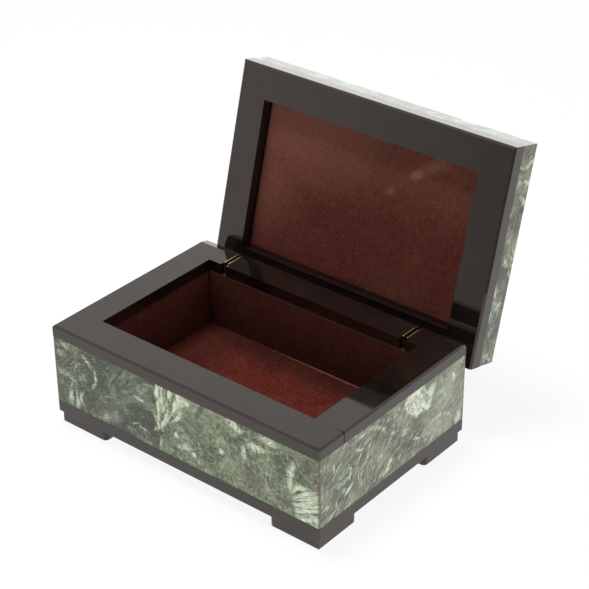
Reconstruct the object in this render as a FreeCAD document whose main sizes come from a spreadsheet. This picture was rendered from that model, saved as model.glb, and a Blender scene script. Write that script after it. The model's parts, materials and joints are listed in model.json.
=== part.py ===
import FreeCAD, Part
import os
import re
import Sketcher

# A keepsake box of polished stone, drawn standing open on the table.
# Thick green slabs, mitred at the corners, stand on a black base plate with a foot under each corner.
# A black rim caps the walls, and a black frame under a green slab makes the lid.
# Two brass tongues, fixed in the lid's back rail, turn between brass cheeks in saw cuts across the rim.
# Velvet over pasteboard lines the inside. X runs along the front, Y to the back and Z up. The origin is
# on the table, under the middle of the open box's outline.

# Driving sizes in millimetres, and one angle in degrees.
SIZES = {
    # The outside of the box.
    "box_length": 150.0,
    "box_depth": 101.0,
    # Feet, one under each corner of the base plate.
    "foot_height": 5.8,
    "foot_length": 26.4,
    "foot_width": 25.0,
    "foot_inset": 1.25,
    "foot_round": 2.0,
    # Base plate and the four green walls.
    "base_thickness": 5.9,
    "wall_height": 33.5,
    "wall_thickness": 12.0,
    # Black rim on top of the walls.
    "rim_thickness": 5.6,
    "rim_front_width": 15.9,
    "rim_side_width": 15.1,
    "rim_back_width": 14.4,
    "rim_bevel": 0.9,
    # Lid: black frame below, green slab above.
    "lid_frame_thickness": 6.9,
    "lid_slab_thickness": 11.1,
    "lid_front_width": 15.5,
    "lid_side_width": 15.4,
    "lid_back_width": 13.5,
    "lid_bevel": 0.9,
    "lid_slab_bevel": 0.5,
    # Space left between the closed lid and the rim.
    "lid_gap": 0.15,
    # Hinges: how far in from the box's ends, and the pin's place in from the back and down from the rim.
    "hinge_inset": 23.7,
    "pin_setback": 4.0,
    "pin_drop": 9.6,
    "pin_radius": 0.8,
    "open_angle": 104.9,
    # Brass plates of a hinge.
    "cheek_thickness": 0.8,
    "tongue_thickness": 1.1,
    "tongue_side_clearance": 0.1,
    "tongue_radius": 3.2,
    "tongue_root_length": 9.0,
    "tongue_root_depth": 5.2,
    # Running clearance round the pin, and the room left at the open stop and over the rim's back slope.
    "pin_clearance": 0.05,
    "stop_clearance": 0.1,
    "relief_clearance": 0.1,
    # Lining: pasteboard covered with velvet.
    "wall_board_thickness": 2.4,
    "floor_board_thickness": 5.0,
    "lid_board_thickness": 0.5,
    "velvet_thickness": 0.6,
    "lining_clearance": 0.2,
    # Extra length of a cut past the face that it leaves by.
    "cut_overrun": 1.0,
}

# Places and sizes that follow from the driving ones.
PLACES = {
    "half_length": "box_length / 2",
    "half_depth": "box_depth / 2",
    "base_top": "foot_height + base_thickness",
    "wall_top": "base_top + wall_height",
    "rim_top": "wall_top + rim_thickness",
    "rim_side_run": "box_depth - rim_front_width - rim_back_width",
    # The hinge pins' axis, and from it the closed lid's faces.
    "pin_y": "half_depth - pin_setback",
    "pin_z": "rim_top - pin_drop",
    "lid_under": "pin_drop + lid_gap",
    "lid_frame_top": "lid_under + lid_frame_thickness",
    "lid_top": "lid_frame_top + lid_slab_thickness",
    "lid_front": "pin_setback - box_depth",
    "lid_side_run": "box_depth - lid_front_width - lid_back_width",
    # A saw cut holds two cheeks and the room for a tongue between them.
    "hinge_offset": "half_length - hinge_inset",
    "tongue_room": "tongue_thickness + 2 * tongue_side_clearance",
    "cut_width": "tongue_room + 2 * cheek_thickness",
    "cut_left": "hinge_offset - cut_width / 2",
    "cut_right": "hinge_offset + cut_width / 2",
    # The open tongue lies back on the floor of the cut, which is the lid's stop.
    "lean": "open_angle - 90",
    "stop_drop": "pin_setback * tan(lean) + tongue_radius / cos(lean) + stop_clearance",
    "cut_depth_in_wall": "pin_drop - rim_thickness + stop_drop",
    # The rim slopes away behind the pins, so that the turning lid clears its back edge.
    "relief_drop": "pin_drop - sqrt(pin_drop ^ 2 - pin_setback ^ 2) + relief_clearance",
    # The lining's faces, counted in from the outside of the box.
    "board_face": "wall_thickness + wall_board_thickness",
    "velvet_face": "board_face + velvet_thickness",
    "floor_length": "box_length - 2 * velvet_face",
    "floor_depth": "box_depth - 2 * velvet_face",
    "lid_lining_length": "box_length - 2 * lid_side_width - 2 * lining_clearance",
    "lid_lining_depth": "lid_side_run - 2 * lining_clearance",
    # How far the open lid reaches back, and the half of it that brings the outline's middle to the origin.
    "open_reach": "pin_y + lid_front * cos(open_angle) + lid_top * sin(open_angle)",
    "set_forward": "(open_reach - half_depth) / 2",
}

# Two edges or points nearer than this are the same.
TOUCH = 1e-6

doc = FreeCAD.newDocument("stone_box")
sizes = doc.addObject("Spreadsheet::Sheet", "Sizes")
places = doc.addObject("Spreadsheet::Sheet", "Places")
sub_parts = []


def in_sheets(text):
    """Writes the name of its sheet before each size or place in a formula."""
    def full(match):
        word = match.group(0)
        if word in SIZES:
            return "Sizes." + word
        if word in PLACES:
            return "Places." + word
        return word
    return re.sub(r"[a-z][a-z_]*", full, text)


def bind(item, setting, text):
    item.setExpression(setting, in_sheets(text))


def value(text):
    return float(sizes.evalExpression(in_sheets(text)))


for row, (name, number) in enumerate(SIZES.items(), start=1):
    sizes.set(f"A{row}", name)
    sizes.set(f"B{row}", str(number))
    sizes.setAlias(f"B{row}", name)
for row, (name, formula) in enumerate(PLACES.items(), start=1):
    places.set(f"A{row}", name)
    places.setAlias(f"B{row}", name)
    places.set(f"B{row}", "=" + in_sheets(formula).replace("Places.", ""))
doc.recompute()


def seat(item, x, y, z):
    """Puts a piece of the box at a point given from the middle of its footprint."""
    bind(item, "Placement.Base.x", x)
    bind(item, "Placement.Base.y", f"{y} - set_forward")
    bind(item, "Placement.Base.z", z)


def seat_on_lid(item, x, y, z):
    """Puts a piece of the lid, given from the pins' axis with the lid closed, where the open lid has it."""
    opened = FreeCAD.Rotation(FreeCAD.Vector(-1, 0, 0), value("open_angle"))
    item.Placement = FreeCAD.Placement(FreeCAD.Vector(), opened)
    bind(item, "Placement.Rotation.Angle", "open_angle")
    bind(item, "Placement.Base.x", x)
    bind(item, "Placement.Base.y", f"pin_y + ({y}) * cos(open_angle) + ({z}) * sin(open_angle) - set_forward")
    bind(item, "Placement.Base.z", f"pin_z - ({y}) * sin(open_angle) + ({z}) * cos(open_angle)")


def named(kind, label):
    """Starts a sub-part, which is written under its label."""
    item = doc.addObject(kind, label)
    item.Label = label
    sub_parts.append(item)
    return item


def board(label, length, depth, height):
    """A plain rectangular piece."""
    item = named("Part::Box", label)
    bind(item, "Length", length)
    bind(item, "Width", depth)
    bind(item, "Height", height)
    return item


def sketch_on(body, plane, lift="0"):
    """A sketch on one of the body's own planes, raised along the plane's normal."""
    base = next(face for face in body.Origin.OriginFeatures if face.Role == plane)
    sketch = body.newObject("Sketcher::SketchObject", f"{body.Name}_outline")
    sketch.AttachmentSupport = [(base, "")]
    sketch.MapMode = "FlatFace"
    bind(sketch, "AttachmentOffset.Base.z", lift)
    return sketch


def place_point(sketch, line, end, across, up):
    """Ties an end of a line to its two distances from the sketch's origin."""
    axes = (("DistanceX", across, -2), ("DistanceY", up, -1))
    for kind, text, axis in axes:
        if text == "0":
            sketch.addConstraint(Sketcher.Constraint("PointOnObject", line, end, axis))
        else:
            row = sketch.addConstraint(Sketcher.Constraint(kind, -1, 1, line, end, value(text)))
            bind(sketch, f"Constraints[{row}]", text)


def outline(sketch, corners):
    """Straight lines through the corners, closed."""
    points = [FreeCAD.Vector(value(across), value(up), 0) for across, up in corners]
    first = sketch.GeometryCount
    count = len(points)
    for i in range(count):
        sketch.addGeometry(Part.LineSegment(points[i], points[(i + 1) % count]))
    for i in range(count):
        sketch.addConstraint(Sketcher.Constraint("Coincident", first + i, 2, first + (i + 1) % count, 1))
    for i, (across, up) in enumerate(corners):
        place_point(sketch, first + i, 1, across, up)


def ring(sketch, radius):
    """A circle about the sketch's origin."""
    circle = Part.Circle(FreeCAD.Vector(), FreeCAD.Vector(0, 0, 1), value(radius))
    edge = sketch.addGeometry(circle)
    sketch.addConstraint(Sketcher.Constraint("Coincident", edge, 3, -1, 1))
    row = sketch.addConstraint(Sketcher.Constraint("Radius", edge, value(radius)))
    bind(sketch, f"Constraints[{row}]", radius)


def rectangle(left, right, front, back):
    return [(left, front), (right, front), (right, back), (left, back)]


def pad(body, sketch, length):
    feature = body.newObject("PartDesign::Pad", f"{body.Name}_pad")
    feature.Profile = sketch
    bind(feature, "Length", length)
    doc.recompute()
    return feature


def cut_up(body, sketch, length):
    """Cuts from the sketch along its normal, and makes sure that stone or brass went away."""
    before = body.Shape.Volume
    feature = body.newObject("PartDesign::Pocket", f"{body.Name}_cut")
    feature.Profile = sketch
    feature.Reversed = True
    bind(feature, "Length", length)
    doc.recompute()
    if body.Shape.Volume > before - TOUCH:
        raise RuntimeError(f"{body.Label}: the cut took nothing away")
    return feature


def ease(body, kind, setting, size, pick):
    """Bevels or rounds the edges of the body whose middle passes the test."""
    base = body.Tip
    edges = [f"Edge{i}" for i, edge in enumerate(base.Shape.Edges, start=1) if pick(edge.CenterOfMass)]
    feature = body.newObject(kind, f"{body.Name}_eased")
    feature.Base = (base, edges)
    bind(feature, setting, size)
    doc.recompute()


def bevel(body, size, pick):
    ease(body, "PartDesign::Chamfer", "Size", size, pick)


def near(a, text):
    return abs(a - value(text)) < TOUCH


def slab(label, corners, thickness):
    """A flat stone cut to an outline and laid flat."""
    body = named("PartDesign::Body", label)
    sketch = sketch_on(body, "XY_Plane")
    outline(sketch, corners)
    pad(body, sketch, thickness)
    return body


# Base plate, one black slab under the whole box.
base_plate = board("base_plate", "box_length", "box_depth", "base_thickness")
seat(base_plate, "-half_length", "-half_depth", "foot_height")

# Feet, square black pads set in a little from the corners. Only the outer corner is left sharp.
for label, side, end in (
    ("foot_front_left", "-", "-"),
    ("foot_front_right", "", "-"),
    ("foot_back_left", "-", ""),
    ("foot_back_right", "", ""),
):
    inward_x = "foot_length" if side else "-foot_length"
    inward_y = "foot_width" if end else "-foot_width"
    foot = slab(label, rectangle("0", inward_x, "0", inward_y), "foot_height")
    mid_height = value("foot_height / 2")
    ease(foot, "PartDesign::Fillet", "Radius", "foot_round",
         lambda c: abs(c.z - mid_height) < TOUCH and max(abs(c.x), abs(c.y)) > TOUCH)
    seat(foot, f"{side}(half_length - foot_inset)", f"{end}(half_depth - foot_inset)", "0")

# Walls, thick green slabs that meet in a mitre at each corner.
wall_front = slab("wall_front", [
    ("0", "0"),
    ("box_length", "0"),
    ("box_length - wall_thickness", "wall_thickness"),
    ("wall_thickness", "wall_thickness"),
], "wall_height")
seat(wall_front, "-half_length", "-half_depth", "base_top")

wall_back = slab("wall_back", [
    ("-half_length", "0"),
    ("wall_thickness - half_length", "-wall_thickness"),
    ("half_length - wall_thickness", "-wall_thickness"),
    ("half_length", "0"),
], "wall_height")
cuts = sketch_on(wall_back, "XY_Plane", "wall_height - cut_depth_in_wall")
outline(cuts, rectangle("-cut_right", "-cut_left", "-wall_thickness - cut_overrun", "cut_overrun"))
outline(cuts, rectangle("cut_left", "cut_right", "-wall_thickness - cut_overrun", "cut_overrun"))
cut_up(wall_back, cuts, "cut_depth_in_wall + cut_overrun")
seat(wall_back, "0", "half_depth", "base_top")

wall_left = slab("wall_left", [
    ("0", "0"),
    ("wall_thickness", "wall_thickness"),
    ("wall_thickness", "box_depth - wall_thickness"),
    ("0", "box_depth"),
], "wall_height")
seat(wall_left, "-half_length", "-half_depth", "base_top")

wall_right = slab("wall_right", [
    ("0", "0"),
    ("0", "box_depth"),
    ("-wall_thickness", "box_depth - wall_thickness"),
    ("-wall_thickness", "wall_thickness"),
], "wall_height")
seat(wall_right, "half_length", "-half_depth", "base_top")

# Rim, black rails on the walls. The front rail runs the full length and the side rails butt behind it.
rim_front = slab("rim_front_rail", rectangle("0", "box_length", "0", "rim_front_width"), "rim_thickness")
bevel(rim_front, "rim_bevel", lambda c: near(c.z, "rim_thickness")
      and (near(c.y, "0") or near(c.x, "0") or near(c.x, "box_length")))
seat(rim_front, "-half_length", "-half_depth", "wall_top")

rim_left = slab("rim_left_rail", rectangle("0", "rim_side_width", "0", "rim_side_run"), "rim_thickness")
bevel(rim_left, "rim_bevel", lambda c: near(c.z, "rim_thickness") and near(c.x, "0"))
seat(rim_left, "-half_length", "rim_front_width - half_depth", "wall_top")

rim_right = slab("rim_right_rail", rectangle("-rim_side_width", "0", "0", "rim_side_run"), "rim_thickness")
bevel(rim_right, "rim_bevel", lambda c: near(c.z, "rim_thickness") and near(c.x, "0"))
seat(rim_right, "half_length", "rim_front_width - half_depth", "wall_top")


# Back rail of the rim, which the two hinge cuts divide into a middle bar and a block at each end.
# Its top slopes down from above the pins to the back, and the blocks' outer ends have the rim's bevel.
def back_rail_piece(label, left, length):
    body = named("PartDesign::Body", label)
    sketch = sketch_on(body, "YZ_Plane")
    outline(sketch, [
        ("pin_setback - rim_back_width", "0"),
        ("pin_setback", "0"),
        ("pin_setback", "rim_thickness - relief_drop"),
        ("0", "rim_thickness"),
        ("pin_setback - rim_back_width", "rim_thickness"),
    ])
    pad(body, sketch, length)
    seat(body, left, "pin_y", "wall_top")
    return body


def top_edge_at(end):
    """Picks the top edges across one end of a back rail piece."""
    lowest = value("rim_thickness - relief_drop")
    return lambda c: near(c.x, end) and c.z > lowest


back_left = back_rail_piece("rim_back_left_block", "-half_length", "half_length - cut_right")
bevel(back_left, "rim_bevel", top_edge_at("0"))
back_right = back_rail_piece("rim_back_right_block", "cut_right", "half_length - cut_right")
bevel(back_right, "rim_bevel", top_edge_at("half_length - cut_right"))
back_rail_piece("rim_back_centre_bar", "-cut_left", "2 * cut_left")

# Hinges: in each cut two brass cheeks stand against the stone, as wide as the wall, so that the cut's mouth
# stays open where the rim overhangs it. A rivet pin crosses them, and the lid's tongue turns between them.
for side, sign in (("left", "-"), ("right", "")):
    for label, start in (
        (f"hinge_{side}_cheek_a", f"{sign}hinge_offset - cut_width / 2"),
        (f"hinge_{side}_cheek_b", f"{sign}hinge_offset + tongue_room / 2"),
    ):
        cheek = named("PartDesign::Body", label)
        plate = sketch_on(cheek, "YZ_Plane")
        outline(plate, [
            ("pin_setback - wall_thickness", "-stop_drop"),
            ("pin_setback", "-stop_drop"),
            ("pin_setback", "pin_drop - relief_drop"),
            ("0", "pin_drop"),
            ("pin_setback - wall_thickness", "pin_drop"),
        ])
        ring(plate, "pin_radius")
        pad(cheek, plate, "cheek_thickness")
        seat(cheek, start, "pin_y", "pin_z")

    pin = named("Part::Cylinder", f"hinge_{side}_pin")
    pin.Placement = FreeCAD.Placement(FreeCAD.Vector(), FreeCAD.Rotation(FreeCAD.Vector(0, 1, 0), 90))
    bind(pin, "Radius", "pin_radius")
    bind(pin, "Height", "cut_width")
    seat(pin, f"{sign}hinge_offset - cut_width / 2", "pin_y", "pin_z")

    tongue = named("PartDesign::Body", f"hinge_{side}_tongue")
    stem = sketch_on(tongue, "YZ_Plane")
    outline(stem, [
        ("-tongue_radius", "0"),
        ("tongue_radius", "0"),
        ("tongue_radius", "lid_under"),
        ("pin_setback", "lid_under"),
        ("pin_setback", "lid_under + tongue_root_depth"),
        ("pin_setback - tongue_root_length", "lid_under + tongue_root_depth"),
        ("pin_setback - tongue_root_length", "lid_under"),
        ("-tongue_radius", "lid_under"),
    ])
    pad(tongue, stem, "tongue_thickness")
    eye = sketch_on(tongue, "YZ_Plane")
    ring(eye, "tongue_radius")
    pad(tongue, eye, "tongue_thickness")
    hole = sketch_on(tongue, "YZ_Plane")
    ring(hole, "pin_radius + pin_clearance")
    cut_up(tongue, hole, "tongue_thickness + cut_overrun")
    seat_on_lid(tongue, f"{sign}hinge_offset - tongue_thickness / 2", "0", "0")

# Lid frame, black rails with a saw cut for each tongue's root. The front and back rails run the full length.
lid_front = slab("lid_front_rail", rectangle("0", "box_length", "0", "lid_front_width"), "lid_frame_thickness")
bevel(lid_front, "lid_bevel", lambda c: near(c.z, "0")
      and (near(c.y, "0") or near(c.x, "0") or near(c.x, "box_length")))
seat_on_lid(lid_front, "-half_length", "lid_front", "lid_under")

lid_back = slab("lid_back_rail", rectangle("-half_length", "half_length", "-lid_back_width", "0"),
                "lid_frame_thickness")
bevel(lid_back, "lid_bevel", lambda c: near(c.z, "0") and near(abs(c.x), "half_length"))
roots = sketch_on(lid_back, "XY_Plane")
for sign in ("-", ""):
    outline(roots, rectangle(
        f"{sign}hinge_offset - tongue_thickness / 2", f"{sign}hinge_offset + tongue_thickness / 2",
        "-tongue_root_length", "cut_overrun"))
cut_up(lid_back, roots, "tongue_root_depth")
seat_on_lid(lid_back, "0", "pin_setback", "lid_under")

lid_left = slab("lid_left_rail", rectangle("0", "lid_side_width", "0", "lid_side_run"), "lid_frame_thickness")
bevel(lid_left, "lid_bevel", lambda c: near(c.z, "0") and near(c.x, "0"))
seat_on_lid(lid_left, "-half_length", "lid_front + lid_front_width", "lid_under")

lid_right = slab("lid_right_rail", rectangle("-lid_side_width", "0", "0", "lid_side_run"), "lid_frame_thickness")
bevel(lid_right, "lid_bevel", lambda c: near(c.z, "0") and near(c.x, "0"))
seat_on_lid(lid_right, "half_length", "lid_front + lid_front_width", "lid_under")

# Lid slab, one thick green stone glued on the frame.
lid_slab = slab("lid_slab", rectangle("0", "box_length", "0", "box_depth"), "lid_slab_thickness")
bevel(lid_slab, "lid_slab_bevel", lambda c: near(c.z, "lid_slab_thickness"))
seat_on_lid(lid_slab, "-half_length", "lid_front", "lid_frame_top")

# Lid lining, a velvet-covered board glued to the slab inside the frame.
lid_board = board("lid_lining_board", "lid_lining_length", "lid_lining_depth", "lid_board_thickness")
seat_on_lid(lid_board, "-lid_lining_length / 2", "lid_front + lid_front_width + lining_clearance",
            "lid_frame_top - lid_board_thickness")
lid_velvet = board("lid_velvet", "lid_lining_length", "lid_lining_depth", "velvet_thickness")
seat_on_lid(lid_velvet, "-lid_lining_length / 2", "lid_front + lid_front_width + lining_clearance",
            "lid_frame_top - lid_board_thickness - velvet_thickness")

# Wall linings. The front and back boards run the full inside length, and the side boards stand between them.
for label, board_y, velvet_y in (
    ("front", "wall_thickness - half_depth", "board_face - half_depth"),
    ("back", "half_depth - board_face", "half_depth - velvet_face"),
):
    card = board(f"{label}_lining_board", "box_length - 2 * wall_thickness", "wall_board_thickness", "wall_height")
    seat(card, "wall_thickness - half_length", board_y, "base_top")
    velvet = board(f"{label}_velvet", "box_length - 2 * board_face", "velvet_thickness", "wall_height")
    seat(velvet, "board_face - half_length", velvet_y, "base_top")
for label, board_x, velvet_x in (
    ("left", "wall_thickness - half_length", "board_face - half_length"),
    ("right", "half_length - board_face", "half_length - velvet_face"),
):
    card = board(f"{label}_lining_board", "wall_board_thickness", "box_depth - 2 * board_face", "wall_height")
    seat(card, board_x, "board_face - half_depth", "base_top")
    velvet = board(f"{label}_velvet", "velvet_thickness", "box_depth - 2 * velvet_face", "wall_height")
    seat(velvet, velvet_x, "velvet_face - half_depth", "base_top")

# Floor lining, a thicker velvet-covered board on the base plate.
floor_board = board("floor_lining_board", "floor_length", "floor_depth", "floor_board_thickness")
seat(floor_board, "-floor_length / 2", "-floor_depth / 2", "base_top")
floor_velvet = board("floor_velvet", "floor_length", "floor_depth", "velvet_thickness")
seat(floor_velvet, "-floor_length / 2", "-floor_depth / 2", "base_top + floor_board_thickness")

doc.recompute()
for item in doc.Objects:
    if "Invalid" in item.State or "Error" in item.State:
        raise RuntimeError(f"{item.Label} failed: {item.State}")
for item in sub_parts:
    if item.Shape.isNull() or not item.Shape.isValid():
        raise RuntimeError(f"{item.Label} has no valid shape")

os.makedirs("parts", exist_ok=True)
for item in sub_parts:
    item.Shape.exportStep(f"parts/{item.Label}.step")
    print(f"{item.Label}: {item.Shape.Volume:.1f} mm3, solids {len(item.Shape.Solids)}")
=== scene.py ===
import json
import math

import bmesh
import bpy
from mathutils import Matrix, Vector, noise


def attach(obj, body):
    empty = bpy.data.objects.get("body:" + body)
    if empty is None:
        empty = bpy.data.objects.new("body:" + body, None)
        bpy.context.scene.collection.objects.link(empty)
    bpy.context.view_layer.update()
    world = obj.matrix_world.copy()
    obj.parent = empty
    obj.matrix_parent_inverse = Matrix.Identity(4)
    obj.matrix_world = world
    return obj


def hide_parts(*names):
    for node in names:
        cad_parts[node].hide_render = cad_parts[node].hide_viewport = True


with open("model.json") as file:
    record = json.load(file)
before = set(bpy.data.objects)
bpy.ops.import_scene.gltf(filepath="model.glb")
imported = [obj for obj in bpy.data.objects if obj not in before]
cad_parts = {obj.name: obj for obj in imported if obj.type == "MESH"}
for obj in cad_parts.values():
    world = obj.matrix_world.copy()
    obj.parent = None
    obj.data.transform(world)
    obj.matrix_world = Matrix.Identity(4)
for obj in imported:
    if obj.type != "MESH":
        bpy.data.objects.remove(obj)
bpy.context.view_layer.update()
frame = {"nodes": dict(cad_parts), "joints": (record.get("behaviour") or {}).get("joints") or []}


# The base plate and the four pads under its corners are sawn from black stone, lapped to a mirror polish
# with their arrises just eased, and glued together. The box stands on the pads.


class Shade:
    """One output in a material's nodes. Arithmetic on it adds the math node that it needs."""

    def __init__(self, tree, socket=None):
        self.tree = tree
        self.socket = socket

    def node(self, kind, settings, inputs, output=None):
        """Adds a node with its settings and with a value or link for each socket, and gives an output."""
        made = self.tree.nodes.new(kind)
        for setting, value in settings.items():
            setattr(made, setting, value)
        sockets = {socket.identifier: socket for socket in made.inputs}
        for identifier, value in inputs.items():
            if isinstance(value, Shade):
                self.tree.links.new(value.socket, sockets[identifier])
            else:
                sockets[identifier].default_value = value
        outputs = {socket.identifier: socket for socket in made.outputs}
        return Shade(self.tree, outputs[output] if output else next(iter(made.outputs), None))

    def beside(self, output):
        """Another output of the same node."""
        return Shade(self.tree, self.socket.node.outputs[output])

    def sum_of(self, operation, first, second):
        kinds = [value.socket.type for value in (first, second) if isinstance(value, Shade)]
        if "VECTOR" in kinds or "RGBA" in kinds:
            whole = [(value,) * 3 if isinstance(value, (int, float)) else value for value in (first, second)]
            sockets = {"Vector": whole[0], "Vector_001": whole[1]}
            return self.node("ShaderNodeVectorMath", {"operation": operation}, sockets)
        return self.node("ShaderNodeMath", {"operation": operation}, {"Value": first, "Value_001": second})

    def __add__(self, other):
        return self.sum_of("ADD", self, other)

    __radd__ = __add__

    def __sub__(self, other):
        return self.sum_of("SUBTRACT", self, other)

    def __rsub__(self, other):
        return self.sum_of("SUBTRACT", other, self)

    def __mul__(self, other):
        return self.sum_of("MULTIPLY", self, other)

    __rmul__ = __mul__

    def __truediv__(self, other):
        return self.sum_of("DIVIDE", self, other)

    def __rtruediv__(self, other):
        return self.sum_of("DIVIDE", other, self)

    def most(self, other):
        return self.sum_of("MAXIMUM", self, other)

    def step(self, low, high):
        """A smooth rise from 0 at low to 1 at high, or a fall where low is the larger."""
        ends = (low, high, 0.0, 1.0) if low < high else (high, low, 1.0, 0.0)
        sockets = dict(zip(("From Min", "From Max", "To Min", "To Max"), ends))
        settings = {"interpolation_type": "SMOOTHSTEP"}
        return self.node("ShaderNodeMapRange", settings, {"Value": self, **sockets})

    def tint(self, first, second):
        """The first colour where this is 0, the second where it is 1."""
        whole = [value if isinstance(value, Shade) else (*value, 1.0) for value in (first, second)]
        sockets = {"Factor_Float": self, "A_Color": whole[0], "B_Color": whole[1]}
        return self.node("ShaderNodeMix", {"data_type": "RGBA"}, sockets, "Result_Color")

    def cloud(self, scale, detail=2.0, roughness=0.5):
        """Soft noise of about that many features to the millimetre."""
        sockets = {"Vector": self, "Scale": scale, "Detail": detail, "Roughness": roughness}
        return self.node("ShaderNodeTexNoise", {}, sockets)

    def stirred(self, scale, detail, reach):
        """This place, moved about by soft noise, by up to about half of that reach each way."""
        return self + (self.cloud(scale, detail).beside("Color") - 0.5) * reach

    def apart(self):
        """The X of this place, with its Y and Z beside it."""
        return self.node("ShaderNodeSeparateXYZ", {}, {"Vector": self}, "X")


def new_finish(name):
    """A material, and the place on the surface in millimetres of the shared frame."""
    material = bpy.data.materials.new(name)
    material.use_nodes = True
    place = Shade(material.node_tree).node("ShaderNodeTexCoord", {}, {}, "Object")
    return material, place * 1000.0


def set_finish(material, sockets):
    shader = material.node_tree.nodes["Principled BSDF"]
    for name, value in sockets.items():
        if isinstance(value, Shade):
            material.node_tree.links.new(value.socket, shader.inputs[name])
        else:
            shader.inputs[name].default_value = value


def relief(height, distance):
    """The normal of a surface that stands up by that distance, in metres, where height is 1."""
    return height.node("ShaderNodeBump", {}, {"Height": height, "Distance": distance}, "Normal")


def dress(material, eased, *names):
    """Gives CAD pieces a finish and a small round on their arrises."""
    for name in names:
        piece = frame["nodes"][name]
        piece.data.materials.clear()
        piece.data.materials.append(material)
        weld = piece.modifiers.new("whole_faces", "WELD")
        weld.merge_threshold = 1e-6
        round_off = piece.modifiers.new("eased_arrises", "BEVEL")
        round_off.width = eased
        round_off.segments = 2
        round_off.limit_method = "ANGLE"
        round_off.angle_limit = math.radians(25)


def ends_of(name, axis):
    """The lowest and the highest place of a CAD piece along an axis, in millimetres."""
    places = [corner.co["XYZ".index(axis)] * 1000.0 for corner in frame["nodes"][name].data.vertices]
    return min(places), max(places)


def size_of(value):
    """The value without its sign."""
    return value.node("ShaderNodeMath", {"operation": "ABSOLUTE"}, {"Value": value})


black_stone, spot = new_finish("polished_black_stone")
smoke = spot.cloud(0.05, 3.0)
fleck = spot.cloud(1.6, 3.0, 0.75).step(0.53, 0.72)
smear = (spot * (0.03, 0.09, 0.05)).cloud(1.0, 4.0, 0.6)
body_colour = smoke.step(0.35, 0.7).tint((0.0046, 0.003, 0.0024), (0.0085, 0.0057, 0.0044))
sides = spot.apart()
seam_place, _ = ends_of("rim_right_rail", "Y")
wall_top, rim_top = ends_of("rim_right_rail", "Z")
_, half_length = ends_of("base_plate", "X")
seam = size_of(sides.beside("Y") - seam_place).step(0.42, 0.2)
seam = seam * sides.beside("Z").step(wall_top - 0.1, wall_top + 0.1)
open_end = sides.step(half_length - 1.4, half_length - 0.8)
filled_run = sides.step(half_length - 11.0, half_length - 2.0) * 0.5
seam = seam * open_end.most(filled_run)
set_finish(black_stone, {
    "Base Color": seam.tint((fleck * 0.6).tint(body_colour, (0.03, 0.023, 0.02)), (0.006, 0.005, 0.004)),
    "Metallic": seam,
    "Roughness": 0.035 + 0.07 * smear.step(0.45, 0.75),
    "IOR": 1.6,
    "Specular Tint": (1.0, 0.88, 0.79, 1.0),
    "Normal": relief(spot.cloud(0.03, 1.0), 3e-5),
})
slab_arris = 0.0002
dress(black_stone, slab_arris, "base_plate")
dress(black_stone, slab_arris, "foot_front_left", "foot_front_right", "foot_back_left", "foot_back_right")


# The four walls are thick slabs of dark green stone grown through with silvery feathers of mica. They are
# mitred at the corners and glued, and each slab was cut from the block at its own place.


def flat_place(across, up):
    """A place on a flat face, from how far across and how far up it is."""
    return across.node("ShaderNodeCombineXYZ", {}, {"X": across, "Y": up})


def placed(flat, middle, turn, reach=(1.0, 1.0)):
    """The slab's places as seen from a middle, turned by so many degrees, with its reach as the unit."""
    sockets = {
        "Vector": flat,
        "Location": (*middle, 0.0),
        "Rotation": (0.0, 0.0, math.radians(turn)),
        "Scale": (*reach, 1.0),
    }
    return flat.node("ShaderNodeMapping", {"vector_type": "TEXTURE"}, sockets)


def length_of(local):
    return local.node("ShaderNodeVectorMath", {"operation": "LENGTH"}, {"Vector": local}, "Value")


def oval(flat, middle, reach, turn):
    """1 at the middle of an oval patch of the slab and 0 at its edge."""
    return length_of(placed(flat, middle, turn, reach)).step(1.0, 0.2)


def streaks(flat, turn, fineness, length, detail=3.0):
    """Fibres side by side, turned from the slab's length, so many to the millimetre and that long."""
    combed = placed(flat, (0.0, 0.0), turn, (length, 1.0 / fineness))
    return combed.cloud(1.0, detail, 0.62)


def polar(flat, root, turn):
    """How far the slab's places lie from a root, and at what angle from its turn."""
    local = placed(flat, root, turn)
    along = local.apart()
    sockets = {"Value": along.beside("Y"), "Value_001": along}
    angle = along.node("ShaderNodeMath", {"operation": "ARCTAN2"}, sockets)
    return length_of(local), angle


def feather(flat, root, turn, spread, near, far, fineness):
    """A plume of fibres that opens from its root, and the fibres alone."""
    out, angle = polar(flat, root, turn)
    across = {"X": angle * fineness, "Y": out * 0.06, "Z": root[0] + turn}
    fibres = angle.node("ShaderNodeCombineXYZ", {}, across).cloud(1.0, 4.0, 0.66)
    aside = size_of(angle) * math.degrees(1.0)
    shape = aside.step(spread, 0.5 * spread) * out.step(near, near + 4.0) * out.step(far, 0.6 * far)
    return shape, fibres


def bow(flat, middle, radius, turn, spread, wide):
    """A curved blade of mica: 1 along part of a ring, and 0 at so many millimetres beside it."""
    out, angle = polar(flat, middle, turn)
    aside = size_of(angle) * math.degrees(1.0)
    return size_of(out - radius).step(wide, 0.2 * wide) * aside.step(spread, 0.4 * spread)


def fields(spot, scale):
    """Fibres that radiate in fields with ragged joints, and a random value for each field."""
    bent = spot.stirred(1.6 * scale, 3.0, 0.6 / scale)
    bent = bent + (spot.cloud(0.4, 2.0).beside("Color") - 0.5) * 1.6
    root = bent.node("ShaderNodeTexVoronoi", {}, {"Vector": bent, "Scale": scale}, "Position")
    random = root.beside("Color")
    outward = bent - root / scale
    ray = outward.node("ShaderNodeVectorMath", {"operation": "NORMALIZE"}, {"Vector": outward})
    threads = (ray * 7.0 + random * 60.0 + bent * 0.08).cloud(1.0, 4.0, 0.66)
    return threads, random.apart()


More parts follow.
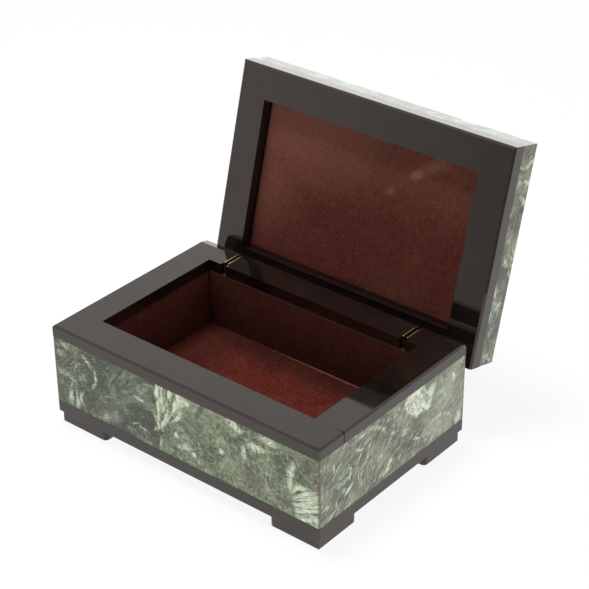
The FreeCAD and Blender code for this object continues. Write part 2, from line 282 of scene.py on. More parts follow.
def weave(flat, turns, fineness, length):
    """Fine fibres that lie in patches, each patch at one of three turns."""
    patch = flat.cloud(0.1, 2.0)
    broken = flat.stirred(0.09, 2.0, (0.0, 0.0, 3.4))
    first, second, third = (streaks(broken, turn, fineness, length) for turn in turns)
    fibres = first + (second - first) * patch.step(0.44, 0.48)
    return fibres + (third - fibres) * patch.step(0.54, 0.57)


def slab_plane(spot, length, height, ripple=1.4):
    """The slab's own length and height as a flat place, bent and rippled a little as the stone grew."""
    axes = spot.apart()
    flat = flat_place(axes.beside(length), axes.beside(height))
    ripples = (flat.cloud(0.5, 2.0).beside("Color") - 0.5) * (ripple, ripple, 0.0)
    return flat.stirred(0.09, 2.0, (3.4, 3.4, 0.0)) + ripples


def set_stone(material, spot, colour):
    smear = (spot * (0.05, 0.04, 0.08)).cloud(1.0, 4.0, 0.6)
    hue = spot.cloud(0.13, 2.0).step(0.36, 0.64).tint((1.02, 0.99, 0.95), (0.98, 1.01, 0.98))
    set_finish(material, {
        "Base Color": colour * hue,
        "Roughness": 0.06 + 0.1 * smear.step(0.45, 0.75),
        "IOR": 1.55,
        "Normal": relief(spot.cloud(0.03, 1.0), 4e-5),
    })


front_face, back_face = ends_of("base_plate", "Y")
half_depth = (back_face - front_face) / 2
middle_depth = (back_face + front_face) / 2


def glued(spot, colour):
    """The stone's colour with the brown glue that shows along the upright joints at the corners."""
    sides = spot.apart()
    ragged = (spot * (1.0, 1.0, 0.25)).cloud(0.5, 2.0) * 1.4
    along = size_of(sides) + ragged
    across = size_of(sides.beside("Y") - middle_depth) + ragged
    near = along.step(half_length - 0.7, half_length + 0.1) * across.step(half_depth - 0.7, half_depth + 0.1)
    return (near * 0.6).tint(colour, (0.1, 0.066, 0.028))


deep_green = (0.0125, 0.0185, 0.008)
grey_green = (0.07, 0.087, 0.043)
olive_dark = (0.034, 0.044, 0.02)
olive_pale = (0.195, 0.228, 0.132)
mica_green = (0.3, 0.36, 0.24)
mica_white = (0.72, 0.79, 0.64)

front_stone, spot = new_finish("green_stone_front")
flat = slab_plane(spot, "X", "Z")
along = flat.apart()
height = along.beside("Y")
# Left of a ragged joint the slab is dark and fibrous, and right of it pale and granular.
grain = spot.cloud(0.6, 3.0, 0.65)
broad = flat.cloud(0.07, 3.0)
combed, _ = fields(flat, 0.055)
fine = weave(flat, turns=(-62.0, 28.0, 80.0), fineness=1.5, length=3.8)
fibre = combed * 0.5 + fine * 0.5
fibrous = (fibre + broad * 0.5 - 0.25).step(0.36, 0.64).tint(deep_green, grey_green)
speck = spot.cloud(1.1, 2.0, 0.7)
granular = grain * 0.45 + fine * 0.25 + speck * 0.3 + broad * 0.4 - 0.2
granular = granular.step(0.38, 0.62).tint(olive_dark, olive_pale)
smooth = oval(flat, (6.0, 33.5), (13.0, 4.0), 42.0) * 0.7
granular = smooth.tint(granular, (0.115, 0.13, 0.075))
granular = (oval(flat, (41.0, 20.0), (14.0, 7.0), -10.0) * 0.35).tint(granular, (0.13, 0.115, 0.055))
ragged = (flat.cloud(0.3, 3.0) - 0.5) * 4.0
middle = (along + ragged + 13.8).step(-0.8, 0.8)
colour = middle.tint(fibrous, granular)
crumb = spot.cloud(0.5, 2.0, 0.6).step(0.56, 0.68) * middle
colour = (crumb * 0.75).tint(colour, mica_green)
colour = (oval(flat, (-61.5, 41.5), (6.0, 3.5), 0.0) * 0.5).tint(colour, (0.12, 0.09, 0.055))
colour = (oval(flat, (67.0, 37.5), (7.5, 8.5), -20.0) * 0.9).tint(colour, fibrous * 0.9)
# Mica opens in plumes: a fan at the joint, a tuft at the left, a spray at the right, and two faint ones.
fan, threads = feather(flat, (-13.0, 16.0), turn=70.0, spread=40.0, near=4.0, far=60.0, fineness=11.0)
hem = (height - along * 0.886 - 33.6).step(-1.0, 1.0)
paler = (along - height * 0.35).step(-6.0, -17.0)
mica = fan * hem * middle * threads.step(0.44, 0.58) * (0.28 + 0.72 * paler)
cleft = oval(flat, (-6.6, 39.5), (6.0, 1.5), -68.0)
cleft = cleft.most(oval(flat, (-11.2, 41.5), (5.0, 1.1), 80.0))
cleft = cleft.most(oval(flat, (-2.5, 42.5), (4.0, 1.3), -60.0))
cleft = cleft.most(oval(flat, (-13.2, 37.5), (3.0, 1.0), 60.0))
mica = mica * (1.0 - 0.85 * cleft)
tuft, threads = feather(flat, (-62.5, 31.0), turn=-92.0, spread=30.0, near=5.0, far=22.0, fineness=8.0)
mica = mica.most(tuft * threads.step(0.46, 0.64) * 0.9)
spray, threads = feather(flat, (30.0, 2.0), turn=26.0, spread=19.0, near=32.5, far=140.0, fineness=26.0)
mica = mica.most(spray * threads.step(0.38, 0.58) * height.step(31.0, 27.5) * along.step(60.0, 63.0))
brow, threads = feather(flat, (-8.0, 33.0), turn=176.0, spread=22.0, near=4.0, far=24.0, fineness=10.0)
mica = mica.most(brow * threads.step(0.42, 0.66) * 0.4)
band, threads = feather(flat, (-50.0, 20.0), turn=44.0, spread=26.0, near=12.0, far=46.0, fineness=18.0)
mica = mica.most(band * threads.step(0.4, 0.7) * 0.3)
mica = mica.most(oval(flat, (-42.0, 16.5), (12.0, 5.0), 22.0) * (0.2 + 0.8 * fine.step(0.36, 0.6)) * 0.3)
# Blades and flakes of mica, in rows of one reach and strength, each with its own place and turn.
for reach, strength, places in (
    ((5.5, 1.6), 0.8, ((-55.0, 40.5, -42.0), (-24.0, 34.0, -8.0), (-65.8, 17.0, 92.0), (-59.6, 19.5, 68.0))),
    ((4.0, 1.0), 0.6, ((-14.4, 22.6, 62.0), (-26.0, 19.5, 30.0), (-21.0, 18.3, -12.0), (-12.4, 16.0, 88.0))),
    ((4.5, 2.4), 0.5, ((-71.0, 28.0, 20.0), (-68.0, 43.0, -15.0), (-71.0, 38.0, 10.0), (-45.0, 15.0, 40.0))),
    ((7.5, 2.6), 0.9, ((30.0, 43.3, -18.0), (42.0, 36.8, 8.0), (49.0, 43.0, 0.0), (60.2, 34.0, 78.0))),
    ((6.5, 2.0), 0.8, ((60.0, 27.5, 98.0), (35.2, 32.0, 94.0), (2.0, 19.5, 15.0))),
    ((2.0, 1.7), 1.2, ((22.5, 27.0, 0.0), (4.0, 42.0, 60.0), (7.0, 18.5, 0.0), (-3.0, 23.5, 30.0))),
):
    for x, z, turn in places:
        mica = mica.most(oval(flat, (x, z), reach, turn) * (0.3 + 0.7 * fine.step(0.38, 0.56)) * strength)
torn = fine.step(0.36, 0.54)
blade = bow(flat, (-58.5, 34.0), radius=9.0, turn=-14.0, spread=48.0, wide=1.4)
mica = mica.most(blade * (0.1 + 0.6 * torn))
blade = bow(flat, (-58.5, 33.5), radius=4.0, turn=150.0, spread=70.0, wide=1.0)
mica = mica.most(blade * torn * 0.4)
blade = bow(flat, (-70.0, 19.0), radius=9.5, turn=80.0, spread=60.0, wide=2.4)
mica = mica.most(blade * torn * 0.4)
mica = mica.most(fibre.step(0.51, 0.62) * broad.step(0.38, 0.6) * 0.38)
strand = streaks(flat, turn=-58.0, fineness=1.7, length=4.5)
strand = strand.most(streaks(flat + 30.0, turn=34.0, fineness=1.7, length=4.0))
mica = mica.most(oval(flat, (-64.0, 30.0), (17.0, 20.0), 0.0) * strand.step(0.54, 0.68) * 0.5)
mica = mica * (1.0 - 0.5 * fine.step(0.46, 0.34))
colour = mica.tint(colour, grain.step(0.3, 0.7).tint((0.46, 0.54, 0.38), mica_white))
# Under the fan the joint goes on as a dark seam.
below = height.step(23.5, 21.5)
seam = size_of(along + 12.2 + (22.5 - height) * 0.19).step(1.0, 0.2) * below
colour = (seam * 0.8).tint(colour, (0.02, 0.025, 0.014))
set_stone(front_stone, spot, glued(spot, colour))
stone_arris = 0.00025
dress(front_stone, stone_arris, "wall_front")

right_stone, spot = new_finish("green_stone_right")
flat = slab_plane(spot, "Y", "Z", 0.7)
grain = spot.cloud(0.6, 3.0, 0.65)
broad = flat.cloud(0.07, 3.0)
combed, _ = fields(flat, 0.06)
fine = weave(flat, turns=(40.0, 14.0, 64.0), fineness=1.5, length=6.0)
# Three sets of fibres cross each other, all bent into the same soft swirls.
swirl = flat.stirred(0.045, 1.0, (15.0, 15.0, 5.0))
thread = streaks(swirl, turn=44.0, fineness=1.35, length=8.0, detail=2.0)
hair = streaks(swirl + 40.0, turn=24.0, fineness=2.0, length=8.0, detail=2.0)
cross = streaks(swirl - 25.0, turn=76.0, fineness=1.5, length=9.0, detail=2.0)
fibre = combed * 0.15 + fine * 0.45 + hair * 0.4
colour = (fibre + broad * 0.5 - 0.25).step(0.37, 0.64).tint((0.028, 0.035, 0.018), (0.185, 0.2, 0.13))
mica = (thread.step(0.57, 0.67) * 0.76).most(hair.step(0.59, 0.69) * 0.66).most(cross.step(0.59, 0.7) * 0.6)
mica = mica * (0.3 + 0.7 * fine.step(0.42, 0.56))
colour = (oval(flat, (16.0, 28.0), (26.0, 24.0), 0.0) * 0.34).tint(colour, (0.235, 0.25, 0.18))
for reach, strength, places in (
    ((4.0, 1.0), 0.75, ((-48.5, 37.2, -32.0), (-65.5, 37.0, 92.0), (-57.0, 27.5, 14.0), (-8.5, 20.3, -25.0))),
    ((5.0, 1.2), 0.6, ((-44.5, 28.5, 42.0), (-16.0, 29.0, -10.0), (-18.0, 27.6, -4.0), (9.0, 40.0, -70.0))),
    ((4.5, 1.7), 1.0, ((-29.5, 15.0, 20.0), (-27.0, 18.0, 40.0), (-55.0, 21.0, 35.0), (18.0, 39.0, -75.0))),
    ((2.2, 1.8), 0.6, ((-33.5, 26.0, 0.0), (-26.0, 33.0, 60.0), (-58.0, 22.0, 0.0), (-69.0, 19.0, 40.0))),
    ((4.5, 4.0), 0.9, ((22.5, 15.0, 60.0), (1.5, 39.5, 30.0))),
    ((19.0, 10.0), 0.3, ((12.0, 33.0, 60.0), (9.0, 18.0, 0.0))),
):
    for y, z, turn in places:
        mica = mica.most(oval(flat, (y, z), reach, turn) * (0.25 + 0.75 * fine.step(0.38, 0.56)) * strength)
# A torn white patch near the top, parted by clefts.
cleft = streaks(flat, turn=-52.0, fineness=0.5, length=5.0)
patch = oval(flat, (-7.5, 39.5), (17.0, 10.5), -38.0) + (flat.cloud(0.2, 4.0, 0.6) - 0.5) * 2.6
patch = patch.step(0.28, 0.7) * oval(flat, (-7.5, 39.5), (20.0, 15.0), -38.0).step(0.02, 0.2)
patch = patch * (1.0 - 0.7 * oval(flat, (-3.0, 39.5), (7.0, 1.8), -62.0))
mica = mica.most(patch * (0.3 + 0.7 * cleft.step(0.34, 0.54)) * (0.6 + 0.4 * fine.step(0.36, 0.54)))
torn = fine.step(0.38, 0.56)
blade = bow(flat, (7.0, 11.0), radius=12.5, turn=90.0, spread=75.0, wide=1.7)
mica = mica.most(blade * torn * 0.6)
blade = bow(flat, (7.0, 11.0), radius=8.5, turn=105.0, spread=60.0, wide=1.3)
mica = mica.most(blade * torn * 0.5)
blade = bow(flat, (-45.0, 27.0), radius=16.5, turn=70.0, spread=60.0, wide=1.7)
mica = mica.most(blade * torn * 0.45)
colour = mica.tint(colour, grain.step(0.3, 0.7).tint((0.46, 0.52, 0.4), mica_white))
set_stone(right_stone, spot, glued(spot, colour))
dress(right_stone, stone_arris, "wall_right")


def grown_stone(spot, flat, plumes):
    """The colour of a slab of fibre and grain that meet in ragged fields, and of its own plumes of mica."""
    threads, kind = fields(spot, 0.04)
    finer, _ = fields(spot + 31.0, 0.09)
    fine = weave(flat, turns=(20.0, -50.0, 75.0), fineness=1.6, length=5.0)
    grain = spot.cloud(0.6, 3.0, 0.65)
    broad = spot.cloud(0.06, 3.0)
    fibre = threads * 0.3 + finer * 0.2 + fine * 0.5
    fibrous = (fibre + broad * 0.35 - 0.17).step(0.37, 0.62).tint(deep_green, (0.16, 0.17, 0.118))
    granular = (grain * 0.6 + fine * 0.4 + broad * 0.3 - 0.15).step(0.36, 0.64).tint(olive_dark, olive_pale)
    colour = kind.step(0.68, 0.72).tint(fibrous, granular)
    mica = finer.step(0.5, 0.62) * broad.step(0.42, 0.56) * fine.step(0.38, 0.54) * 0.55
    torn = (spot.cloud(0.11, 4.0, 0.6) - 0.5) * 3.2
    faint = 0.3 + 0.7 * (spot + 70.0).cloud(0.035, 2.0).step(0.42, 0.56)
    drift = flat.stirred(0.045, 1.0, (14.0, 14.0, 0.0))
    for root, turn, spread, far in plumes:
        shape, threads = feather(drift, root, turn, spread, near=3.0, far=far, fineness=11.0)
        shape = shape * (shape + torn).step(-0.1, 0.4)
        mica = mica.most(shape * threads.step(0.4, 0.62) * (0.3 + 0.7 * fine.step(0.36, 0.54)) * faint * 0.9)
    return mica.tint(colour, grain.step(0.3, 0.7).tint((0.42, 0.49, 0.36), mica_white))


back_stone, spot = new_finish("green_stone_back")
flat = slab_plane(spot, "X", "Z")
plumes = (
    ((-30.0, 8.0), 66.0, 34.0, 46.0), ((34.0, 50.0), -104.0, 30.0, 42.0), ((64.0, 12.0), 122.0, 26.0, 34.0),
    ((-68.0, 46.0), -52.0, 26.0, 32.0), ((6.0, 20.0), 24.0, 22.0, 30.0),
)
set_stone(back_stone, spot, glued(spot, grown_stone(spot + (12.0, 80.0, 41.0), flat, plumes)))
dress(back_stone, stone_arris, "wall_back")

left_stone, spot = new_finish("green_stone_left")
flat = slab_plane(spot, "Y", "Z")
plumes = (
    ((-42.0, 8.0), 58.0, 34.0, 46.0), ((6.0, 48.0), -112.0, 30.0, 38.0), ((-73.0, 30.0), 8.0, 24.0, 30.0),
    ((24.0, 12.0), 140.0, 28.0, 32.0),
)
set_stone(left_stone, spot, glued(spot, grown_stone(spot + (63.0, 18.0, 25.0), flat, plumes)))
dress(left_stone, stone_arris, "wall_left")


# The rim is black stone like the base: three rails glued on the walls, butted at the front corners, and a
# back rail that the two hinge cuts part into a long bar and two end blocks.

rail_arris = 0.00001
dress(black_stone, rail_arris, "rim_front_rail", "rim_left_rail", "rim_right_rail")
dress(black_stone, rail_arris, "rim_back_left_block", "rim_back_centre_bar", "rim_back_right_block")


# Each hinge is a brass knuckle in a saw cut of the back rail: two cheeks line the cut, a rivet pin crosses
# it, and the lid's tongue turns on the pin. The sheet brass is filed along its length. Its colour is darker
# along the cut, and a painted shadow of the lid darkens it toward the back.

brass, spot = new_finish("filed_brass")
filing = (spot * (6.0, 0.35, 6.0)).cloud(1.0, 3.0, 0.6)
dull = spot.cloud(0.4, 3.0)
sides = spot.apart()
hinge_place = sum(ends_of("hinge_right_pin", "X")) / 2
aside = size_of(size_of(sides) - hinge_place)
darker_reach = 0.94
tongue_side = 0.53
past_tongue = aside.step(tongue_side - 0.03, tongue_side + 0.03)
dark_cut_and_lid_shadow = aside.step(darker_reach + 0.08, darker_reach - 0.08) * past_tongue
# Painted shadow of the lid: the cheeks' tops are painted darker toward the back, under the lid.
behind = sides.beside("Y").step(back_face - 4.62, back_face - 1.12)
above = sides.beside("Z").step(rim_top - 4.3, rim_top - 2.8)
dark_cut_and_lid_shadow = dark_cut_and_lid_shadow.most(behind * above * 0.6)
brass_colour = dull.step(0.35, 0.7).tint((0.72, 0.53, 0.24), (0.5, 0.34, 0.13))
set_finish(brass, {
    "Base Color": (dark_cut_and_lid_shadow * 0.93).tint(brass_colour, (0.05, 0.037, 0.02)),
    "Metallic": 1.0,
    "Roughness": 0.24 + 0.2 * filing,
    "Normal": relief(filing, 1.5e-5),
})
brass_arris = 0.00006
for side in ("left", "right"):
    for piece in ("cheek_a", "cheek_b", "pin", "tongue"):
        dress(brass, brass_arris, f"hinge_{side}_{piece}")


# The lining boards are dark brown pasteboard, cut to the walls, the floor and the lid's recess and glued
# in. The velvet covers them.

pasteboard, spot = new_finish("pasteboard")
pulp = (spot * (0.6, 0.6, 2.5)).cloud(1.0, 4.0, 0.7)
set_finish(pasteboard, {
    "Base Color": pulp.step(0.3, 0.7).tint((0.014, 0.009, 0.007), (0.034, 0.023, 0.017)),
    "Roughness": 0.85,
    "Specular IOR Level": 0.1,
    "Normal": relief(pulp, 8e-5),
})
board_arris = 0.0001
for side in ("front", "back", "left", "right", "floor", "lid"):
    dress(pasteboard, board_arris, side + "_lining_board")


# The lining is burgundy cotton velvet, one cut piece for each board, glued over its face so that the edges
# roll down to the board. The pile is worn browner and is brushed about in soft patches. Its colour also holds
# painted light and shade: a painted highlight along the floor's back edge, a painted sheen on the lid, and
# painted shade on the walls, under the rails and at the floor's back and left.


def velvet_sheet(name, node, outward, roll, to_row=Matrix.Identity(4)):
    """A thin closed sheet in the room of its CAD solid, with a rolled edge and a face that is never flat."""
    to_own = to_row.inverted()
    corners = [to_own @ corner.co for corner in frame["nodes"][node].data.vertices]
    low = Vector([min(corner[axis] for corner in corners) for axis in range(3)])
    high = Vector([max(corner[axis] for corner in corners) for axis in range(3)])
    deep = max(range(3), key=lambda axis: abs(outward[axis]))
    wide, tall = [axis for axis in range(3) if axis != deep]
    rising = outward[deep] > 0
    thick = high[deep] - low[deep]
    step = 0.0012
    fold = 0.0003
    edge_share = 0.3
    back_share = 0.04
    pile_share = 0.82
    swell = 0.16
    ruffle = 0.05
    lines = {}
    for axis in (wide, tall):
        count = round((high[axis] - low[axis]) / step)
        spaced = [low[axis] + (high[axis] - low[axis]) * line / count for line in range(count + 1)]
        lines[axis] = [low[axis], low[axis] + fold, *spaced[1:-1], high[axis] - fold, high[axis]]
    columns = len(lines[wide]) - 1
    rows = len(lines[tall]) - 1
    mesh = bmesh.new()
    faces = {"pile": {}, "back": {}}
    for row in range(rows + 1):
        for column in range(columns + 1):
            point = Vector()
            point[wide] = lines[wide][column]
            point[tall] = lines[tall][row]
            inset = min(min(point[axis] - low[axis], high[axis] - point[axis]) for axis in (wide, tall))
            rolled = math.sqrt(max(0.0, 1 - max(0.0, 1 - inset / roll) ** 2))
            stand = pile_share + swell * noise.noise(point * 70) + ruffle * noise.noise(point * 260)
            lift = thick * min(1.0, edge_share + (stand - edge_share) * rolled)
            for side, height in (("pile", lift), ("back", thick * back_share)):
                point[deep] = low[deep] + height if rising else high[deep] - height
                faces[side][column, row] = mesh.verts.new(to_row @ point)
    for side, grid in faces.items():
        for row in range(rows):
            for column in range(columns):
                places = ((column, row), (column + 1, row), (column + 1, row + 1), (column, row + 1))
                mesh.faces.new([grid[place] for place in places])
    around = [(column, 0) for column in range(columns)] + [(columns, row) for row in range(rows)]
    around += [(column, rows) for column in range(columns, 0, -1)] + [(0, row) for row in range(rows, 0, -1)]
    for first, second in zip(around, around[1:] + around[:1]):
        mesh.faces.new([
            faces["pile"][first], faces["pile"][second], faces["back"][second], faces["back"][first]
        ])
    bmesh.ops.recalc_face_normals(mesh, faces=mesh.faces)
    for face in mesh.faces:
        face.smooth = True
    data = bpy.data.meshes.new(name)
    mesh.to_mesh(data)
    mesh.free()
    sheet = bpy.data.objects.new(name, data)
    bpy.context.scene.collection.objects.link(sheet)
    return sheet, (high[wide] - low[wide], high[tall] - low[tall])


def velvet_finish(name, depth, wear_and_painted_light=None, painted_shade=None, gloss=0.2):
    """Velvet whose depth paints its shade, paler for wear and painted light, darker in painted shade, by
    place.
    """
    material, spot = new_finish(name)
    tuft = spot.cloud(1.5, 2.0, 0.7)
    pile = spot.cloud(3.2, 1.0)
    brushed = spot.stirred(0.05, 2.0, 14.0).cloud(0.06, 3.0)
    lint = spot.cloud(1.1, 2.0, 0.6).step(0.63, 0.71)
    mottle = spot.cloud(0.35, 4.0, 0.68).step(0.34, 0.66)
    colour = tuft.step(0.38, 0.62).tint((0.045, 0.0064, 0.0037), (0.101, 0.0154, 0.0084))
    colour = (brushed.step(0.42, 0.68) * 0.35).tint(colour, (0.1, 0.0265, 0.015))
    # A depth below 1 is painted shade: the same cloth made darker where it lies in shadow.
    colour = (lint * 0.5).tint(colour, (0.21, 0.09, 0.062)) * depth * (0.8 + 0.4 * mottle)
    # Painted shade, where the function of the place says so.
    if painted_shade:
        colour = colour * (1.0 - 0.62 * painted_shade(spot))
    # Paler where worn, and where painted light falls, as the function of the place says.
    if wear_and_painted_light:
        colour = (wear_and_painted_light(spot) * (0.65 + 0.35 * tuft.step(0.3, 0.7)) * 0.6).tint(colour, (0.232, 0.096, 0.065))
    set_finish(material, {
        "Base Color": colour,
        "Roughness": 0.92,
        "Specular IOR Level": gloss,
        "Sheen Weight": 0.15,
        "Sheen Roughness": 0.4,
        "Sheen Tint": (0.75, 0.34, 0.21, 1.0),
        "Normal": relief(pile * 0.6 + tuft * 0.4, 1.6e-4),
    })
    return material


def painted_edge_highlight(spot):
    """1 along the floor's back edge, where a painted highlight shows the edge catching the light."""
    sides = spot.apart()
    _, floor_back = ends_of("floor_velvet", "Y")
    highlight_line = floor_back - 0.92
    ragged = (spot.cloud(0.25, 2.0) - 0.5) * 1.6
    return size_of(sides.beside("Y") - highlight_line + ragged).step(0.9, 0.2) * sides.step(-25.0, 10.0)


def painted_wall_shade(spot):
    """1 at the floor's back and left edges, where painted shade stands for the walls' shadow."""
    wavy = (spot.cloud(0.08, 3.0) - 0.5) * 18.0
    sides = spot.apart()
    return (sides.beside("Y") + wavy).step(-12.0, 8.0).most(0.7 * (sides + wavy).step(-14.0, -44.0))


def painted_rail_shade(spot):
    """1 along the top of the walls' velvet, where painted shade lies under the rails."""
    return spot.apart().beside("Z").step(wall_top - 1.8, wall_top - 0.4)


# The floor's velvet has a painted highlight along its back edge and painted shade at its back and left. The
# walls' velvet is the same cloth painted darker, at depth 0.68, as shade, and darker still under the rails.
floor_velvet = velvet_finish("burgundy_velvet_floor", depth=0.99, wear_and_painted_light=painted_edge_highlight, painted_shade=painted_wall_shade, gloss=0.1)
wall_velvet = velvet_finish("burgundy_velvet_walls", depth=0.68, painted_shade=painted_rail_shade)
lining = {
    "floor": (Vector((0.0, 0.0, 1.0)), 0.0012),
    "front": (Vector((0.0, 1.0, 0.0)), 0.0004),
    "back": (Vector((0.0, -1.0, 0.0)), 0.0004),
    "left": (Vector((1.0, 0.0, 0.0)), 0.0004),
    "right": (Vector((-1.0, 0.0, 0.0)), 0.0004),
}
for side, (outward, roll) in lining.items():
    sheet, cut = velvet_sheet(side + "_velvet_lining", side + "_velvet", outward, roll)
    sheet.data.materials.append(floor_velvet if side == "floor" else wall_velvet)
    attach(sheet, "box")
    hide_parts(side + "_velvet")


# The lid is one more thick slab of the green stone, with a frame of black stone glued under it. It leans
# back past upright on its hinges, and what is said of its stone is said of the closed lid.

hinge = frame["joints"][0]
pin = Vector(hinge["pos_m"])
swing = math.radians(hinge["range_deg"][1])
to_open = Matrix.Translation(pin) @ Matrix.Rotation(-swing, 4, "X")

lid_stone, spot = new_finish("green_stone_lid")
to_closed = to_open.inverted()
sockets = {
    "Vector": spot,
    "Location": to_closed.translation * 1000.0,
    "Rotation": to_closed.to_euler(),
}
closed_spot = spot.node("ShaderNodeMapping", {}, sockets)
sides = closed_spot.apart()
lid_top = max((to_closed @ corner.co).z for corner in frame["nodes"]["lid_slab"].data.vertices) * 1000.0
depth = sides.beside("Z") - lid_top
leaning = flat_place(depth * 0.5, depth * 0.7)
wander = (closed_spot.cloud(0.3, 3.0).beside("Color") - 0.5) * (0.5, 0.5, 0.0)
flat = slab_plane(closed_spot, "X", "Y") + leaning + wander * depth
plumes = (
    ((-46.0, -22.0), 28.0, 36.0, 48.0), ((28.0, -88.0), 118.0, 34.0, 52.0), ((58.0, -6.0), 206.0, 30.0, 44.0),
    ((-66.0, -92.0), 58.0, 28.0, 44.0), ((4.0, -40.0), -64.0, 38.0, 42.0), ((38.0, -46.0), -40.0, 28.0, 34.0),
    ((-20.0, -2.0), 214.0, 26.0, 40.0),
)
colour = grown_stone(closed_spot + (240.0, 33.0, 15.0), flat, plumes)
# Glints of mica on the slab's right face.
edge = flat_place(sides.beside("Y"), sides.beside("Z")).stirred(0.25, 2.0, (3.0, 3.0, 0.0))
tear = 0.3 + 0.7 * streaks(edge, turn=55.0, fineness=1.4, length=4.0).step(0.36, 0.56)
glint = oval(edge, (-71.5, 25.0), (5.0, 2.2), 50.0) * tear * 0.6
for reach, strength, places in (
    ((3.5, 1.1), 0.45, ((-80.3, 24.0, 84.0), (-66.8, 16.8, 20.0), (-38.0, 25.6, 25.0), (2.0, 23.5, 55.0))),
    ((4.5, 1.8), 0.5, ((-31.0, 17.2, 18.0), (-44.0, 21.0, 40.0))),
):
    for y, z, turn in places:
        glint = glint.most(oval(edge, (y, z), reach, turn) * tear * strength)
right_face = sides.step(half_length - 1.0, half_length - 0.4)
colour = (glint * right_face).tint(colour, mica_white)
set_stone(lid_stone, closed_spot, colour)
dress(lid_stone, stone_arris, "lid_slab")
dress(black_stone, rail_arris, "lid_front_rail", "lid_back_rail", "lid_left_rail", "lid_right_rail")


def wear_and_painted_sheen(spot):
    """Lid velvet's paleness: worn near its upper right corner, painted sheen toward its top and left."""
    sides = spot.apart()
    flat = flat_place(sides, sides.beside("Z")).stirred(0.2, 3.0, (4.0, 4.0, 0.0))
    rubbed = oval(flat, (26.0, 105.0), (6.0, 3.4), 35.0)
    rubbed = rubbed.most(oval(flat, (34.0, 110.0), (15.0, 4.6), 32.0) * 0.6)
    rubbed = rubbed.most(oval(flat, (14.0, 94.0), (4.0, 3.0), 20.0) * 0.45)
    # Painted sheen: a pale haze of light toward the top and left, and along the top.
    painted_sheen = oval(flat, (-50.0, 124.0), (120.0, 58.0), 8.0)
    painted_sheen = painted_sheen.most(oval(flat, (-62.0, 88.0), (42.0, 50.0), 0.0) * 0.55)
    return painted_sheen.most(sides.beside("Z").step(78.0, 112.0) * 0.5) + rubbed


downward = Vector((0.0, 0.0, -1.0))
sheet, cut = velvet_sheet("lid_velvet_lining", "lid_velvet", downward, roll=0.001, to_row=to_open)
# The lid's velvet is the same cloth painted darker, at depth 0.7, as shade.
sheet.data.materials.append(velvet_finish("burgundy_velvet_lid", depth=0.7, wear_and_painted_light=wear_and_painted_sheen))
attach(sheet, "lid")
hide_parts("lid_velvet")


# The studio: a white floor under the box and white all round, which the polished stone mirrors, dimmer from
# the camera's side. The light is soft: one lamp overhead, and others low in front, at the right and behind.


def seen_directly(tree):
    """1 for the rays that show the surroundings themselves, and 0 for those that only light the box."""
    look = Shade(tree).node("ShaderNodeLightPath", {}, {}, "Is Camera Ray")
    return look.most(look.beside("Is Glossy Ray")).most(look.beside("Is Transmission Ray"))


floor_reach = 1.4
floor_middle = (-1.0, 1.0, -0.00005)
floor_mesh = bmesh.new()
bmesh.ops.create_grid(floor_mesh, x_segments=8, y_segments=8, size=floor_reach)
floor_data = bpy.data.meshes.new("studio_floor")
floor_mesh.to_mesh(floor_data)
floor_mesh.free()
floor = bpy.data.objects.new("studio_floor", floor_data)
floor.location = floor_middle
bpy.context.scene.collection.objects.link(floor)
paper = bpy.data.materials.new("white_paper")
paper.use_nodes = True
tree = paper.node_tree
tree.nodes.clear()
lit = Shade(tree).node("ShaderNodeBsdfDiffuse", {}, {"Color": (0.86, 0.86, 0.86, 1.0)})
glow = lit.node("ShaderNodeEmission", {}, {"Color": (1.0, 1.0, 1.0, 1.0), "Strength": 1.0})
blank = seen_directly(tree) * 0.9
shown = lit.node("ShaderNodeMixShader", {}, {"Fac": blank, "Shader": lit, "Shader_001": glow})
shown.node("ShaderNodeOutputMaterial", {}, {"Surface": shown})
floor_data.materials.append(paper)

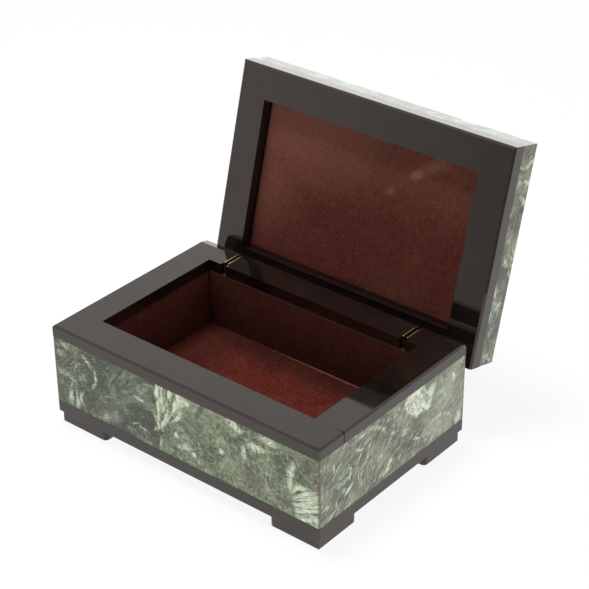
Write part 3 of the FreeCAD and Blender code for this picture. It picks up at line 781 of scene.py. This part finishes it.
world = bpy.data.worlds.new("white_studio")
bpy.context.scene.world = world
world.use_nodes = True
tree = world.node_tree
tree.nodes.clear()
fill, white, room = (
    Shade(tree).node("ShaderNodeBackground", {}, {"Color": (1.0, 1.0, 1.0, 1.0), "Strength": strength})
    for strength in (0.22, 1.0, 0.4)
)
toward = fill.node("ShaderNodeTexCoord", {}, {}, "Generated").apart()
mirrored = fill.node("ShaderNodeLightPath", {}, {}, "Is Glossy Ray")
dim = (toward - toward.beside("Y")).step(0.15, 0.55) * mirrored
around = fill.node("ShaderNodeMixShader", {}, {"Fac": dim, "Shader": white, "Shader_001": room})
seen = seen_directly(tree)
shown = fill.node("ShaderNodeMixShader", {}, {"Fac": seen, "Shader": fill, "Shader_001": around})
shown.node("ShaderNodeOutputWorld", {}, {"Surface": shown})


def soft_light(name, place, size, watts):
    """A square lamp at a place, turned to the box."""
    lit_point = Vector((0.0, 0.0, 0.05))
    lamp = bpy.data.lights.new(name, "AREA")
    lamp.size = size
    lamp.energy = watts
    holder = bpy.data.objects.new(name, lamp)
    holder.location = place
    holder.rotation_euler = (lit_point - Vector(place)).to_track_quat("-Z", "Y").to_euler()
    bpy.context.scene.collection.objects.link(holder)


soft_light("overhead_softbox", (-0.2, -0.05, 1.12), 0.36, 13.5)
soft_light("front_softbox", (-0.1, -1.3, 0.16), 0.8, 7.0)
soft_light("right_softbox", (1.2, 0.1, 0.13), 0.7, 10.0)
soft_light("back_softbox", (-0.72, 1.2, 0.14), 0.6, 1.0)

bpy.context.scene.view_settings.view_transform = "Standard"


# The camera stands where the photographer's did: in front and to the right of the box, looking down on it
# from about three quarters of a metre with a long lens.

camera_place = (0.433993, -0.52364, 0.463496)
focal_length = 109.86
azimuth, elevation, roll = (math.radians(angle) for angle in (39.56, 30.70, -0.42))
level = Vector((math.cos(azimuth), math.sin(azimuth), 0.0))
backward = Vector((
    math.sin(azimuth) * math.cos(elevation), -math.cos(azimuth) * math.cos(elevation), math.sin(elevation)
))
rise = backward.cross(level)
rightward = level * math.cos(roll) + rise * math.sin(roll)
upward = backward.cross(rightward)
camera_data = bpy.data.cameras.new("camera")
camera_data.sensor_width = 36.0
camera_data.lens = focal_length
camera_data.clip_start = 0.01
camera = bpy.data.objects.new("camera", camera_data)
facing = Matrix((rightward, upward, backward)).transposed().to_4x4()
camera.matrix_world = Matrix.Translation(camera_place) @ facing
bpy.context.scene.collection.objects.link(camera)
bpy.context.scene.camera = camera
